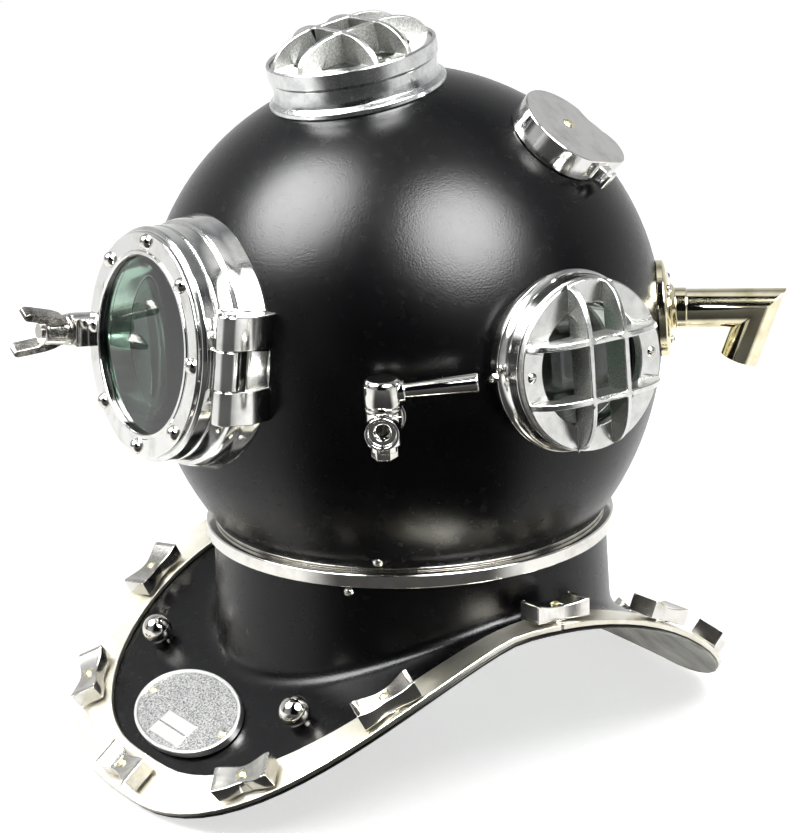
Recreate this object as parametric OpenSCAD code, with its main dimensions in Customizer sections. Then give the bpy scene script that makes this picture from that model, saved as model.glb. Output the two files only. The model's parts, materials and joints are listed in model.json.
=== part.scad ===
// Deep-sea diving helmet: a domed bonnet that locks onto a breastplate with an interrupted thread.
// Millimetres. +Z up, the front window looks along -Y, the diver's left is +X.
// The origin is on the neck axis, at the plane where the bonnet ring meets the neck ring.

/* [Bonnet] */
// Outer radius of the dome
bonnet_r = 162.8; // [160:0.1:166]
// Wall of the dome
bonnet_wall = 3.2; // [2:0.1:5]
// Height of the dome's centre over the neck joint
dome_z = 117.5; // [108:0.5:125]
// Straight band between the dome's lower form and its crown
dome_rise = 3.5; // [0:0.1:6]
// Outer radius of the dome where it meets its ring
mouth_r = 124.8; // [123:0.1:128]
// Free opening of the bonnet ring, which the head passes
neck_opening_r = 112; // [104:0.5:114]
// Turn that frees the bonnet from the breastplate
unlock_turn = 45; // [45:1:45]

/* [Front window] */
// Upward pitch of the window's axis
front_pitch = 6.8; // [0:0.1:12]
// How far the joint of door and seat stands off the dome's radius
front_stand = 11.4; // [9:0.1:16]
// Radius of the seat at the joint
front_seat_r = 70.8; // [66:0.1:76]
// Width of the seat from its outside to the clear window
front_rim = 17.4; // [16:0.1:22]
// Thickness of the door behind its bezel
door_t = 9.9; // [8:0.1:14]
// Thickness of the bezel ring
bezel_t = 3; // [2:0.1:5]
// Number of bezel screws
bezel_screws_n = 8; // [4:1:12]
// How far the hinge pin stands off the seat
hinge_stand = 4.7; // [4:0.1:9]
// How far the door opens
door_open = 120; // [30:5:125]

/* [Side and top windows] */
// Upward pitch of the side windows' axes
side_pitch = 5; // [0:0.1:10]
// Forward tilt of the top window's axis
top_tilt = 10.3; // [0:0.1:15]
// How far the face of a side guard stands off the dome's radius
side_stand = 28.7; // [25:0.1:34]
// How far the face of the top guard stands off the dome's radius
top_stand = 16.2; // [13:0.1:20]
// Outer radius of a port guard
guard_r = 50.1; // [48:0.1:53]
// Clear radius of a port guard
guard_view_r = 36; // [32:0.5:38]
// Rise of a side guard's bars over its face
guard_rise = 16.5; // [12:0.5:24]
// Rise of the top guard's bars over its face
top_rise = 18; // [12:0.5:24]
// Width of one bar
bar_w = 3.8; // [2.5:0.1:6]
// Half spacing of a side guard's upright bars
bar_x = 12.7; // [9:0.1:20]
// Half spacing of a side guard's level bars
bar_y = 17; // [9:0.1:22]
// Half spacing of the top guard's bars that run fore and aft
top_bar_x = 14.7; // [9:0.1:20]
// Half spacing of the top guard's bars that run across
top_bar_y = 12.1; // [9:0.1:22]

/* [Breastplate] */
// Outer radius of the neck
neck_r = 126.1; // [125.6:0.1:127]
// How far the neck ring stands off the neck
ring_stand = 5; // [3.5:0.1:8]
// Height of the neck ring's band
ring_h = 9.2; // [7:0.1:14]
// Wall of the breastplate
plate_wall = 2.4; // [1.6:0.1:3.6]
// Half width over the shoulders
shoulder_w = 164.8; // [160:0.5:190]
// Reach of the front lobe from the shoulder line
front_reach = 190; // [180:1:205]
// Reach of the back lobe from the shoulder line
back_reach = 216.6; // [205:1:225]
// Depth of the shoulders' rim under the neck joint
shoulder_drop = 34.6; // [33:0.1:42]
// Height from the lobes' feet to the shoulders' rim
lobe_drop = 105.7; // [95:0.5:115]
// Width of the brails
brail_w = 28; // [26:0.5:32]
// Thickness of the brails
brail_t = 3.4; // [2.5:0.1:5]
// Length of a brail nut
nut_len = 39; // [34:0.5:44]
// Height of a brail nut at its ends
nut_h = 12; // [11:0.5:20]

/* [Fittings] */
// Outer radius of a gooseneck's pipe
pipe_r = 12.2; // [10.5:0.1:14]
// Bore radius of a gooseneck
pipe_bore_r = 8.5; // [6:0.1:9]
// Length from the dome to the gooseneck's corner
pipe_reach = 60; // [45:1:70]
// Turn of the gooseneck at its corner
pipe_bend = 110; // [90:1:120]
// Length of the gooseneck after its corner
pipe_drop = 35; // [30:1:60]
// Radius and depth of the socket at a gooseneck's mouth
socket_r = 9.5; // [8.8:0.1:11]
socket_deep = 12; // [8:0.5:16]
// Radius of the spitcock's body
spit_r = 9.8; // [9:0.1:12]
// How far the spitcock's mouth stands off the dome's radius
spit_stand = 34.2; // [30:0.1:42]
// Length of the spitcock's lever from its plug's axis
spit_lever = 55; // [40:1:65]
// Radius of the exhaust valve's body
exhaust_r = 27; // [24:0.5:30]
// Radius of the round studs on the breastplate
ball_r = 9.8; // [7:0.1:11]
// Half length of the oval plate
badge_a = 52; // [40:0.5:54]
// Half height of the oval plate
badge_b = 30; // [22:0.5:32]

/* [Hidden] */
$fn = 96;

// Sizes that follow the dome, the front seat and the neck
front_joint = bonnet_r + front_stand;
front_view_r = front_seat_r - front_rim;
hinge_x = front_seat_r + hinge_stand;
side_face = bonnet_r + side_stand;
top_face = bonnet_r + top_stand;
spit_reach = bonnet_r + spit_stand;
ring_r = neck_r + ring_stand;
root_z = bonnet_r - 63;     // inside the dome, where feet and cuts start before the dome trims them

// Clearances: a film of solder or sealant, a sliding gap and a running fit
film = 0.15;
gap = 0.3;
running = 0.04;
nickel = [0.82, 0.82, 0.80];
warm_nickel = [0.86, 0.84, 0.74];
aluminium = [0.75, 0.76, 0.77];
brass = [0.80, 0.68, 0.38];
black = [0.06, 0.06, 0.065];
rubber = [0.1, 0.1, 0.1];
leather = [0.35, 0.22, 0.13];
glass = [0.55, 0.75, 0.68, 0.45];

// Dome form

lip_t = 2.2;            // flange of the bonnet ring under the dome's edge
dome_foot = gap + lip_t;
low_axis = (dome_z - dome_foot) / sqrt(1 - pow(mouth_r / bonnet_r, 2));

// Solid dome, grown or shrunk by d: half a sphere, a straight band, and an ellipsoid down to the mouth
module dome_form(d) {
    r = bonnet_r + d;
    low = low_axis + d;
    foot = asin((dome_z - dome_foot) / low);
    crown_z = dome_z + dome_rise;
    translate([0, 0, crown_z]) intersection() {
        sphere(r);
        translate([-r - 1, -r - 1, 0]) cube([2 * r + 2, 2 * r + 2, r + 1]);
    }
    rotate_extrude() polygon(concat(
        [[0, crown_z + 0.01], [r, crown_z]],
        [for (i = [0:14]) [r * cos(foot * i / 14), dome_z - low * sin(foot * i / 14)]],
        [[0, dome_foot]]));
}

// Frame of a fitting on the dome: az from the front towards the diver's left, el upwards
module on_dome(az, el) {
    translate([0, 0, dome_z]) rotate([90 - el, 0, az]) children();
}
// The same for a fitting on the crown
module on_crown(az, el) {
    translate([0, 0, dome_rise]) on_dome(az, el) children();
}

// Screw with a domed head, which stands on z = 0 and points down; slot 0 leaves the head plain
module dome_screw(head_r, head_h, shank_r, shank_l, slot) {
    ball = (head_r * head_r + head_h * head_h) / (2 * head_h);
    difference() {
        intersection() {
            translate([0, 0, head_h - ball]) sphere(ball);
            cylinder(r = head_r + 1, h = head_h + 1);
        }
        if (slot > 0) translate([-head_r, -slot / 2, head_h * 0.55]) cube([2 * head_r, slot, head_h]);
    }
    translate([0, 0, -shank_l]) cylinder(r = shank_r, h = shank_l + 0.01);
}

// Breastplate form

shoulder_y = -29.9;     // the shoulder line, from the neck axis
front_square = 2.41;    // squareness of each lobe in plan
back_square = 3.2;
front_fall = 1.39;      // how late each lobe falls away from the shoulders
back_fall = 2.37;
crease_side = 38;       // depth of the neck's foot at the sides, and how much deeper it is fore and aft
crease_drop = 44;
crease_fall = 1.7;
plate_crown = 0.35;
neck_fillet = 9;
loop_n = 90;
neck_flare = 2;

function rim_len(t) =
    let (n = cos(t) >= 0 ? front_square : back_square, b = cos(t) >= 0 ? front_reach : back_reach)
    pow(pow(abs(sin(t)) / shoulder_w, n) + pow(abs(cos(t)) / b, n), -1 / n);
function rim_x(t) = rim_len(t) * sin(t);
function rim_y(t) = shoulder_y - rim_len(t) * cos(t);
function rim_fall(t) =
    let (b = cos(t) >= 0 ? front_reach : back_reach, q = cos(t) >= 0 ? front_fall : back_fall)
    pow(rim_len(t) * abs(cos(t)) / b, q);
foot_flat = 0.985;      // share of the drop at which a lobe is cut level, so the helmet stands
function rim_z(t) = -shoulder_drop - lobe_drop * min(rim_fall(t), foot_flat) / foot_flat;
function azimuth(t) = atan2(rim_x(t), -rim_y(t));
function rim_rho(t) = norm([rim_x(t), rim_y(t)]);
foot_r = neck_r + neck_flare;
function crease_z(t) = -crease_side - crease_drop * pow(abs(cos(azimuth(t))), crease_fall);

// Section of the plate at t, as [distance from the neck axis, z], s from the neck's foot to the rim
function plate_at(t, s) = [
    foot_r + (rim_rho(t) - foot_r) * s,
    crease_z(t) + (rim_z(t) - crease_z(t)) * (s - plate_crown * s * (1 - s))];
function span(t) = rim_rho(t) - foot_r;
function brail_s(t) = 1 - brail_w * 0.93 / norm(plate_at(t, 1) - plate_at(t, 0));
function fillet_s(t) = min(neck_fillet / span(t), brail_s(t) * 0.8);
function corner(t, u) =
    let (a = [foot_r, crease_z(t) + neck_fillet], c = [foot_r, crease_z(t)], b = plate_at(t, fillet_s(t)))
    a * pow(1 - u, 2) + c * 2 * u * (1 - u) + b * u * u;
function section(t) = concat(
    [[neck_r, -ring_h - film]],
    [for (u = [0:0.25:1]) corner(t, u)],
    [for (k = [1:3]) plate_at(t, fillet_s(t) + (brail_s(t) - fillet_s(t)) * k / 3)],
    [for (k = [1:3]) plate_at(t, brail_s(t) + (1 - brail_s(t)) * k / 3)]);
// Unit normal of a section at point i, out of the upper face
function way(p, i) = let (d = p[min(i + 1, len(p) - 1)] - p[max(i - 1, 0)]) d / norm(d);
function up(p, i) = let (w = way(p, i)) [-w[1], w[0]];
function turned(t, q) = [q[0] * sin(azimuth(t)), -q[0] * cos(azimuth(t)), q[1]];
function shifted(p, h) = [for (i = [0:len(p) - 1]) p[i] + up(p, i) * h];

// Closed skin over rings of points: each ring is the outline of one section
module skin(rings, closed) {
    m = len(rings[0]);
    n = len(rings);
    last = closed ? n - 1 : n - 2;
    sides = [for (i = [0:last]) for (j = [0:m - 1])
        let (a = i * m + j, b = i * m + (j + 1) % m, c = ((i + 1) % n) * m + (j + 1) % m, d = ((i + 1) % n) * m + j)
        each [[a, b, c], [a, c, d]]];
    ends = closed ? [] : [[for (j = [m - 1:-1:0]) j], [for (j = [0:m - 1]) (n - 1) * m + j]];
    polyhedron([for (r = rings) each r], concat(sides, ends));
}

// Point of the upper face at loop angle t and share s, the ways along the loop and out, and the normal
function spot(t, s) = turned(t, plate_at(t, s));
function along(t, s) = let (d = spot(t + 1, s) - spot(t - 1, s)) d / norm(d);
function outward(t, s) = let (d = spot(t, min(s + 0.02, 1)) - spot(t, s - 0.02)) d / norm(d);
function normal(t, s) = let (n = cross(outward(t, s), along(t, s))) n / norm(n);
// Frame h above the upper face: local z is the normal, local x runs along the loop
module on_plate(t, s, h) {
    x = along(t, s);
    z = normal(t, s);
    y = cross(z, x);
    p = spot(t, s) + z * h;
    multmatrix([
        [x[0], y[0], z[0], p[0]],
        [x[1], y[1], z[1], p[1]],
        [x[2], y[2], z[2], p[2]],
        [0, 0, 0, 1]]) children();
}

module breastplate() {
    color(black) skin([for (i = [0:loop_n - 1]) let (t = 360 * i / loop_n, p = section(t), q = shifted(p, -plate_wall))
        [for (j = [0:len(p) - 1]) turned(t, p[j]), for (j = [len(p) - 1:-1:0]) turned(t, q[j])]], true);
}

// Neck joint

spigot_r = neck_opening_r + 2.5;
lug_pitch = 6;
lug_t = 2.6;
lug_rows = 3;
lug_arc = 38;
sleeve_r = neck_r - plate_wall - film;
collar_bore_r = sleeve_r - 2;
sleeve_deep = 30;
ledge_t = 3;
gasket_t = 2.8;
spigot_deep = sleeve_deep - ledge_t - gasket_t - film;

// Rows of lugs on four quarters, from radius a to b, the first at depth z
module lugs(a, b, z) {
    for (row = [0:lug_rows - 1]) for (quarter = [0:3])
        rotate([0, 0, 90 * quarter - lug_arc / 2]) translate([0, 0, z - row * lug_pitch])
            rotate_extrude(angle = lug_arc) translate([a, 0]) square([b - a, lug_t]);
}

module neck_ring() {
    color(nickel) {
        rotate_extrude() polygon([
            [collar_bore_r, 0], [ring_r - 0.8, 0], [ring_r, -0.8], [ring_r, -ring_h + 0.8],
            [ring_r - 0.8, -ring_h], [sleeve_r, -ring_h], [sleeve_r, -sleeve_deep],
            [neck_opening_r + 0.6, -sleeve_deep], [neck_opening_r + 0.6, -sleeve_deep + ledge_t],
            [collar_bore_r, -sleeve_deep + ledge_t]]);
        lugs(spigot_r + 0.7, collar_bore_r + 0.5, -4);
    }
}

module neck_gasket() {
    color(leather) translate([0, 0, -sleeve_deep + ledge_t + film / 2]) difference() {
        cylinder(r = collar_bore_r - 0.3, h = gasket_t);
        translate([0, 0, -1]) cylinder(r = neck_opening_r + 0.8, h = gasket_t + 2);
    }
}

ring_rise = 14;
lock_lug_w = 8;

module bonnet_ring() {
    upright_r = mouth_r - bonnet_wall - film - 0.2;
    color(nickel) {
        rotate_extrude() polygon([
            [neck_opening_r, -spigot_deep], [spigot_r, -spigot_deep], [spigot_r, gap],
            [mouth_r + 0.4, gap], [mouth_r + 0.4, dome_foot - film], [upright_r, dome_foot - film],
            [upright_r, ring_rise], [neck_opening_r, ring_rise]]);
        lugs(spigot_r - 0.5, collar_bore_r - 0.6, -4 - lug_pitch / 2);
        translate([-lock_lug_w / 2, mouth_r - 1, gap]) cube([lock_lug_w, lock_pin_y - mouth_r + 1, dome_foot - film - gap]);
        translate([-lock_lug_w / 2, ring_r, gap]) cube([lock_lug_w, lock_pin_y - ring_r, 9]);
    }
}

// Screws beside the neck ring, one on each part
mark_az = 47.9;
mark_z = 7;
mark_rho = bonnet_r * sqrt(1 - pow((dome_z - mark_z) / low_axis, 2));
mark_lean = atan2((dome_z - mark_z) / pow(low_axis, 2), mark_rho / pow(bonnet_r, 2));
neck_mark_az = 39.3;
module on_mark() {
    rotate([0, 0, mark_az]) translate([0, -mark_rho, mark_z]) rotate([90 + mark_lean, 0, 0]) children();
}
module bonnet_screw() {
    color(nickel) on_mark() translate([0, 0, film]) dome_screw(3.2, 2.2, 1.5, 2.4, 0.8);
}
module neck_screw() {
    color(nickel) rotate([0, 0, neck_mark_az]) translate([0, -neck_r - 0.45, -ring_h - 4.2]) rotate([90, 0, 0])
        dome_screw(3.2, 2.2, 1.5, 0.05, 0.8);
}

// Safety lock at the back of the neck ring: its lever stands beside the bonnet's lug when closed
lock_pin_y = ring_r + 5.9;
lock_pin_z = -4.6;
lock_pin_r = 1.6;
lock_x = -lock_lug_w / 2 - 5.2;
module lock_bracket() {
    color(nickel) difference() {
        union() {
            for (side = [-1, 1]) translate([lock_x + side * 4.6 - 1.3, ring_r - 0.2, lock_pin_z - 4])
                cube([2.6, lock_pin_y - ring_r + 4, 8]);
            translate([lock_x - 5.9, ring_r + film, lock_pin_z - 4]) cube([11.8, 1.6, 8]);
        }
        translate([lock_x - 7, lock_pin_y, lock_pin_z]) rotate([0, 90, 0]) cylinder(r = lock_pin_r + running, h = 14);
        cylinder(r = ring_r + film, h = 2 * sleeve_deep, center = true);
    }
}
module lock_lever() {
    color(nickel) translate([lock_x, lock_pin_y, lock_pin_z]) {
        rotate([0, 90, 0]) cylinder(r = lock_pin_r, h = 12.6, center = true);
        rotate([0, 90, 0]) cylinder(r = 3, h = 6, center = true);
        translate([-3, 0, -1.6]) cube([6, 17, 3.2]);
        translate([0, 17, 0]) rotate([0, 90, 0]) cylinder(r = 2.6, h = 9, center = true);
    }
}

// Brails

seat_share = 0.5;
shoulder_t = 100;       // loop angle of the joint between front and back brails
stud_t = [0, 33, 60.5, 101.5, 127.6, 146, 180, -146, -127.6, -101.5, -60.5, -33];
stud_r = 4;
washer_t = 1.1;
nut_bore_h = 6.4;
function stud_s(t) = 1 - (1 - brail_s(t)) * seat_share;

// One brail between two loop angles; its sections stand at the plate's own, so the two faces follow
module brail(from, to) {
    steps = round((to - from) / (360 / loop_n));
    difference() {
        skin([for (i = [0:steps])
            let (t = from + (to - from) * i / steps + (i == 0 ? joint_gap : i == steps ? -joint_gap : 0), b = brail_s(t),
                ss = [for (k = [0:3]) b + (1 - b) * k / 3])
            [for (k = [0:3]) spot(t, ss[k]) + normal(t, ss[k]) * (film + brail_t),
                for (k = [3:-1:0]) spot(t, ss[k]) + normal(t, ss[k]) * film]], false);
        for (q = stud_t) for (t = [q - 360, q]) if (t > from - 3 && t < to + 3)
            on_plate(t, stud_s(t), -2) cylinder(r = stud_r + 0.4, h = 12, $fn = 32);
    }
}
joint_gap = 0.15;
module brail_front_left() { color(warm_nickel) brail(0, shoulder_t); }
module brail_front_right() { color(warm_nickel) brail(-shoulder_t, 0); }
module brail_back_left() { color(warm_nickel) brail(shoulder_t, 180); }
module brail_back_right() { color(warm_nickel) brail(-180, -shoulder_t); }

stud_foot = film + 0.1;

nut_w = 18;
nut_waist = 13;
nut_mid = 9.4;
// Half outline of a nut from its waist to its end
function nut_side(x) = nut_waist / 2 + (nut_w - nut_waist) / 2 * pow(sin(90 * min(abs(x) / (nut_len / 2 - 4), 1)), 2);
module nut_body() {
    xs = [for (i = [-8:8]) i / 8 * nut_len / 2];
    hollow = (pow(nut_len / 2 - 3, 2) + pow(nut_h - nut_mid, 2)) / (2 * (nut_h - nut_mid));
    difference() {
        union() {
            translate([0, 0, washer_t]) linear_extrude(nut_h - washer_t)
                polygon(concat([for (x = xs) [x, -nut_side(x)]], [for (i = [16:-1:0]) [xs[i], nut_side(xs[i])]]));
            cylinder(r = nut_waist / 2, h = washer_t + 1);
        }
        translate([0, 0, nut_mid + hollow]) rotate([90, 0, 0]) cylinder(r = hollow, h = nut_w + 2, center = true);
        translate([0, 0, -1]) cylinder(r = stud_r + 0.2, h = nut_bore_h + 1);
        cylinder(r = 1.9, h = nut_h);
    }
}
nut_lift = film + brail_t + 0.25;
module brail_studs() {
    color(nickel) for (t = stud_t) on_plate(t, stud_s(t), stud_foot)
        cylinder(r = stud_r, h = nut_lift + nut_bore_h - 0.4 - stud_foot);
}
module brail_nuts() {
    color(nickel) for (t = stud_t) on_plate(t, stud_s(t), nut_lift) nut_body();
}
module brail_nut_screws() {
    color(brass) for (t = stud_t) on_plate(t, stud_s(t), nut_lift) translate([0, 0, nut_mid + 0.3])
        dome_screw(3.1, 1.3, 1.7, 2.4, 0.7);
}

// Studs and oval plate on the front lobe

ball_t = 36.7;
ball_s = 0.406;
module ball_studs() {
    color(nickel) for (side = [-1, 1]) on_plate(side * ball_t, ball_s, 0.2) {
        cylinder(r = ball_r * 0.62, h = 2);
        intersection() {
            translate([0, 0, ball_r * 0.86]) sphere(ball_r);
            cylinder(r = ball_r + 1, h = 2 * ball_r);
        }
    }
}

badge_s = 0.435;
badge_t = 4.6;
badge_rim = 2.4;
badge_screw_x = 0.84;
// Ellipse with half axes a and b
module ellipse(a, b) { polygon([for (i = [0:71]) [a * cos(5 * i), b * sin(5 * i)]]); }
module oval_plate() {
    color(aluminium) on_plate(0, badge_s, 0.2) difference() {
        linear_extrude(badge_t) ellipse(badge_a, badge_b);
        translate([0, 0, badge_t - 1]) linear_extrude(2) ellipse(badge_a - badge_rim, badge_b - badge_rim);
        for (side = [-1, 1]) translate([side * badge_a * badge_screw_x, 0, -1]) cylinder(r = 1.8, h = 9, $fn = 32);
    }
}
module oval_plate_screws() {
    color(brass) on_plate(0, badge_s, 0.2) for (side = [-1, 1])
        translate([side * badge_a * badge_screw_x, 0, badge_t - 0.95]) dome_screw(2.9, 1.3, 1.5, 3, 0.7);
}

// Dome shell

front_seat_bore = front_view_r + 0.6;
port_bore_r = guard_view_r - 1;
telephone_az = 121;
telephone_el = 49.5;
side_az = 91.3;
air_az = 142;
goose_el = 4.2;
spit_az = 52.8;
spit_el = -2.75;
exhaust_az = -118;
exhaust_el = -22;

module dome_cut(r) { translate([0, 0, root_z]) cylinder(r = r, h = 2 * (bonnet_r - root_z)); }
module dome_hole(az, el, r) { on_dome(az, el) dome_cut(r); }

module bonnet_shell() {
    color(black) difference() {
        dome_form(0);
        difference() {
            dome_form(-bonnet_wall);
            cube([400, 400, 2 * dome_foot - 1], center = true);
        }
        translate([0, 0, -10]) cylinder(r = mouth_r - bonnet_wall, h = 10 + ring_rise);
        dome_hole(0, front_pitch, front_seat_bore);
        dome_hole(side_az, side_pitch, port_bore_r);
        dome_hole(-side_az, side_pitch, port_bore_r);
        on_top() dome_cut(port_bore_r);
        on_cup() dome_cut(12);
        for (side = [-1, 1]) dome_hole(side * air_az, goose_el, pipe_bore_r + 0.5);
        dome_hole(spit_az, spit_el, spit_bore_r);
        dome_hole(exhaust_az, exhaust_el, exhaust_bore_r);
        on_mark() cylinder(r = 1.7, h = 6, center = true);
    }
}

// Front window: seat, hinge lugs and latch lug

knuckle_r = 8;
hinge_z = front_joint - 2;
hinge_pin_r = 4;
door_lug_h = 11.6;      // half height of the door's knuckle
seat_lug_h = 32;        // half height of the whole hinge
latch_x = -front_seat_r - 8.2;
latch_y = -6;
latch_deep = 9;         // how far the latch screw's point reaches into the seat's lug
latch_point_r = 4;
latch_lug_r = 8.5;
latch_lug_t = 16.5;
bolt_r = 5;
seat_root = front_joint - 56.2;

seat_foot = 6.5;        // how much wider the seat's foot is than its face
hinge_root = seat_root + 16;     // where the hinge block leaves the foot

module hinge_lug(low, high) {
    translate([0, low, 0]) {
        translate([hinge_x, 0, hinge_z]) rotate([-90, 0, 0]) cylinder(r = knuckle_r, h = high - low);
        translate([0, high - low, 0]) rotate([90, 0, 0]) linear_extrude(high - low) hinge_side(hinge_x + knuckle_r, hinge_z);
    }
}
// Side of the hinge block: its rear slopes out from the foot to x = wide, and its front is at z = top
module hinge_side(wide, top) {
    polygon([[front_seat_bore + 4, hinge_root], [front_seat_r + 2, hinge_root], [wide, hinge_root + 25],
        [wide, top], [front_seat_bore + 4, top]]);
}
// Bore across the window for the hinge pin
module hinge_bore(r) {
    translate([hinge_x, 0, hinge_z]) rotate([90, 0, 0]) cylinder(r = r, h = 3 * seat_lug_h, center = true);
}
// The lug that the latch screw goes into; its hole flares, so that the point comes out as the door swings
module latch_lug() {
    translate([latch_x, latch_y, front_joint - latch_lug_t - 0.3]) {
        cylinder(r = latch_lug_r, h = latch_lug_t);
        translate([0, -latch_lug_r, 0]) cube([-latch_x - front_seat_bore - 4, 2 * latch_lug_r, latch_lug_t]);
    }
}
module latch_hole() {
    translate([latch_x, latch_y, front_joint - latch_deep - 2])
        cylinder(r1 = latch_point_r + 0.3, r2 = latch_point_r + 1.2, h = latch_deep + 2.01);
}
module front_seat() {
    band = front_joint - 12;
    color(nickel) difference() {
        on_dome(0, front_pitch) difference() {
            union() {
                rotate_extrude() polygon([
                    [front_seat_bore, seat_root], [front_seat_r + seat_foot, seat_root],
                    [front_seat_r + seat_foot, seat_root + 25], [front_seat_r + 6.2, seat_root + 29],
                    [front_seat_r + 4.4, seat_root + 34], [front_seat_r + 3.6, band - 4], [front_seat_r + 2.6, band - 1],
                    [front_seat_r + 0.6, band], [front_seat_r, band + 1], [front_seat_r, front_joint - 0.8],
                    [front_seat_r - 0.8, front_joint], [front_seat_bore, front_joint]]);
                hinge_lug(door_lug_h + gap, seat_lug_h);
                hinge_lug(-seat_lug_h, -door_lug_h - gap);
                translate([0, seat_lug_h, 0]) rotate([90, 0, 0]) linear_extrude(2 * seat_lug_h)
                    hinge_side(hinge_x + knuckle_r - 2.4, hinge_z - knuckle_r - 2);
                latch_lug();
            }
            hinge_bore(hinge_pin_r + 0.02);
            latch_hole();
            translate([hinge_x, -door_lug_h - gap, hinge_z]) rotate([-90, 0, 0])
                cylinder(r = knuckle_r + gap, h = 2 * door_lug_h + 2 * gap);
        }
        dome_form(film);
    }
}
module hinge_pin() {
    color(nickel) on_dome(0, front_pitch) translate([hinge_x, -seat_lug_h - 1, hinge_z]) rotate([-90, 0, 0])
        cylinder(r = hinge_pin_r, h = 2 * seat_lug_h + 2);
}

// Door: frame with knuckle and latch block, glass, gaskets, bezel and its screws

door_back = front_joint + 0.4;
door_face = door_back + door_t;
door_r = front_seat_r - 0.5;
bezel_r = door_r - 2.7;
rebate_r = front_view_r + 5.2;
rebate_z = door_back + 3.4;
glass_gasket_t = 1.5;
bezel_pcd = (rebate_r + bezel_r) / 2 - 1.2;
bezel_hole_r = 2.1;

latch_block_r = 10.5;    // the block that the latch screw goes through is round about it
latch_block_h = 8.6;     // half height of its arm to the door's rim
latch_block_z = door_face + 11.5;

module door_frame() {
    color(nickel) on_dome(0, front_pitch) difference() {
        union() {
            difference() {
                rotate_extrude() polygon([
                    [front_view_r, door_back], [door_r, door_back], [door_r, door_face - 2], [bezel_r + 0.8, door_face],
                    [rebate_r, door_face], [rebate_r, rebate_z], [front_view_r, rebate_z]]);
                hinge_bore(knuckle_r + gap);
            }
            translate([hinge_x, -door_lug_h, hinge_z]) rotate([-90, 0, 0]) cylinder(r = knuckle_r, h = 2 * door_lug_h);
            translate([rebate_r + 5, -door_lug_h, door_back])
                cube([hinge_x - rebate_r - 5, 2 * door_lug_h, hinge_z + knuckle_r - door_back]);
            difference() {
                translate([latch_x, latch_y, door_back]) {
                    cylinder(r = latch_block_r, h = latch_block_z - door_back);
                    translate([0, -latch_block_h, 0])
                        cube([-latch_x - rebate_r - 4, 2 * latch_block_h, latch_block_z - door_back]);
                }
                translate([0, 0, door_face - 0.5]) cylinder(r = bezel_r + 0.4, h = latch_block_z - door_face + 1);
            }
        }
        hinge_bore(hinge_pin_r + running);
        translate([latch_x, latch_y, door_back - 1]) cylinder(r = bolt_r + running, h = latch_block_z - door_back + 2);
        translate([0, 0, door_back - 1]) difference() {
            cylinder(r = front_view_r + 9.4, h = 2.6);
            translate([0, 0, -1]) cylinder(r = front_view_r + 3.6, h = 5);
        }
        for (i = [1:bezel_screws_n]) rotate([0, 0, 360 * i / bezel_screws_n]) translate([bezel_pcd, 0, door_face - 5])
            cylinder(r = bezel_hole_r, h = 10, $fn = 32);
    }
}
module door_gasket() {
    color(rubber) on_dome(0, front_pitch) translate([0, 0, front_joint + 0.1]) difference() {
        cylinder(r = front_view_r + 9.2, h = 1.8);
        translate([0, 0, -1]) cylinder(r = front_view_r + 3.8, h = 4);
    }
}
glass_back = rebate_z + glass_gasket_t + 0.1;
module front_glass() {
    bulge = 7;
    ball = (front_view_r * front_view_r + bulge * bulge) / (2 * bulge);
    color(glass) on_dome(0, front_pitch) {
        translate([0, 0, glass_back]) cylinder(r = rebate_r - 0.4, h = door_face - glass_back - 0.1);
        intersection() {
            translate([0, 0, glass_back + ball - bulge]) sphere(ball);
            translate([0, 0, glass_back - bulge - 1]) cylinder(r = front_view_r - 0.3, h = bulge + 1.5);
        }
    }
}
module front_glass_gasket() {
    color(rubber) on_dome(0, front_pitch) translate([0, 0, rebate_z + 0.05]) difference() {
        cylinder(r = rebate_r - 0.4, h = glass_gasket_t);
        translate([0, 0, -1]) cylinder(r = front_view_r + 0.2, h = 5);
    }
}
module front_bezel() {
    z = door_face + 0.05;
    color(nickel) on_dome(0, front_pitch) difference() {
        rotate_extrude() polygon([
            [front_view_r, z], [bezel_r, z], [bezel_r, z + bezel_t - 0.7], [bezel_r - 0.7, z + bezel_t],
            [front_view_r + 3, z + bezel_t], [front_view_r + 2.6, z + bezel_t + 1], [front_view_r + 0.6, z + bezel_t + 1],
            [front_view_r, z + bezel_t + 0.4]]);
        for (i = [1:bezel_screws_n]) rotate([0, 0, 360 * i / bezel_screws_n]) translate([bezel_pcd, 0, z - 1])
            cylinder(r = bezel_hole_r, h = 10, $fn = 32);
    }
}
module bezel_screws() {
    color(nickel) on_dome(0, front_pitch) for (i = [1:bezel_screws_n]) rotate([0, 0, 360 * i / bezel_screws_n])
        translate([bezel_pcd, 0, door_face + 0.1 + bezel_t]) dome_screw(4.9, 4.2, 2, 7, 0);
}

// Latch screw, captive in the door's block, and the wing nut pinned on it

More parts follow.
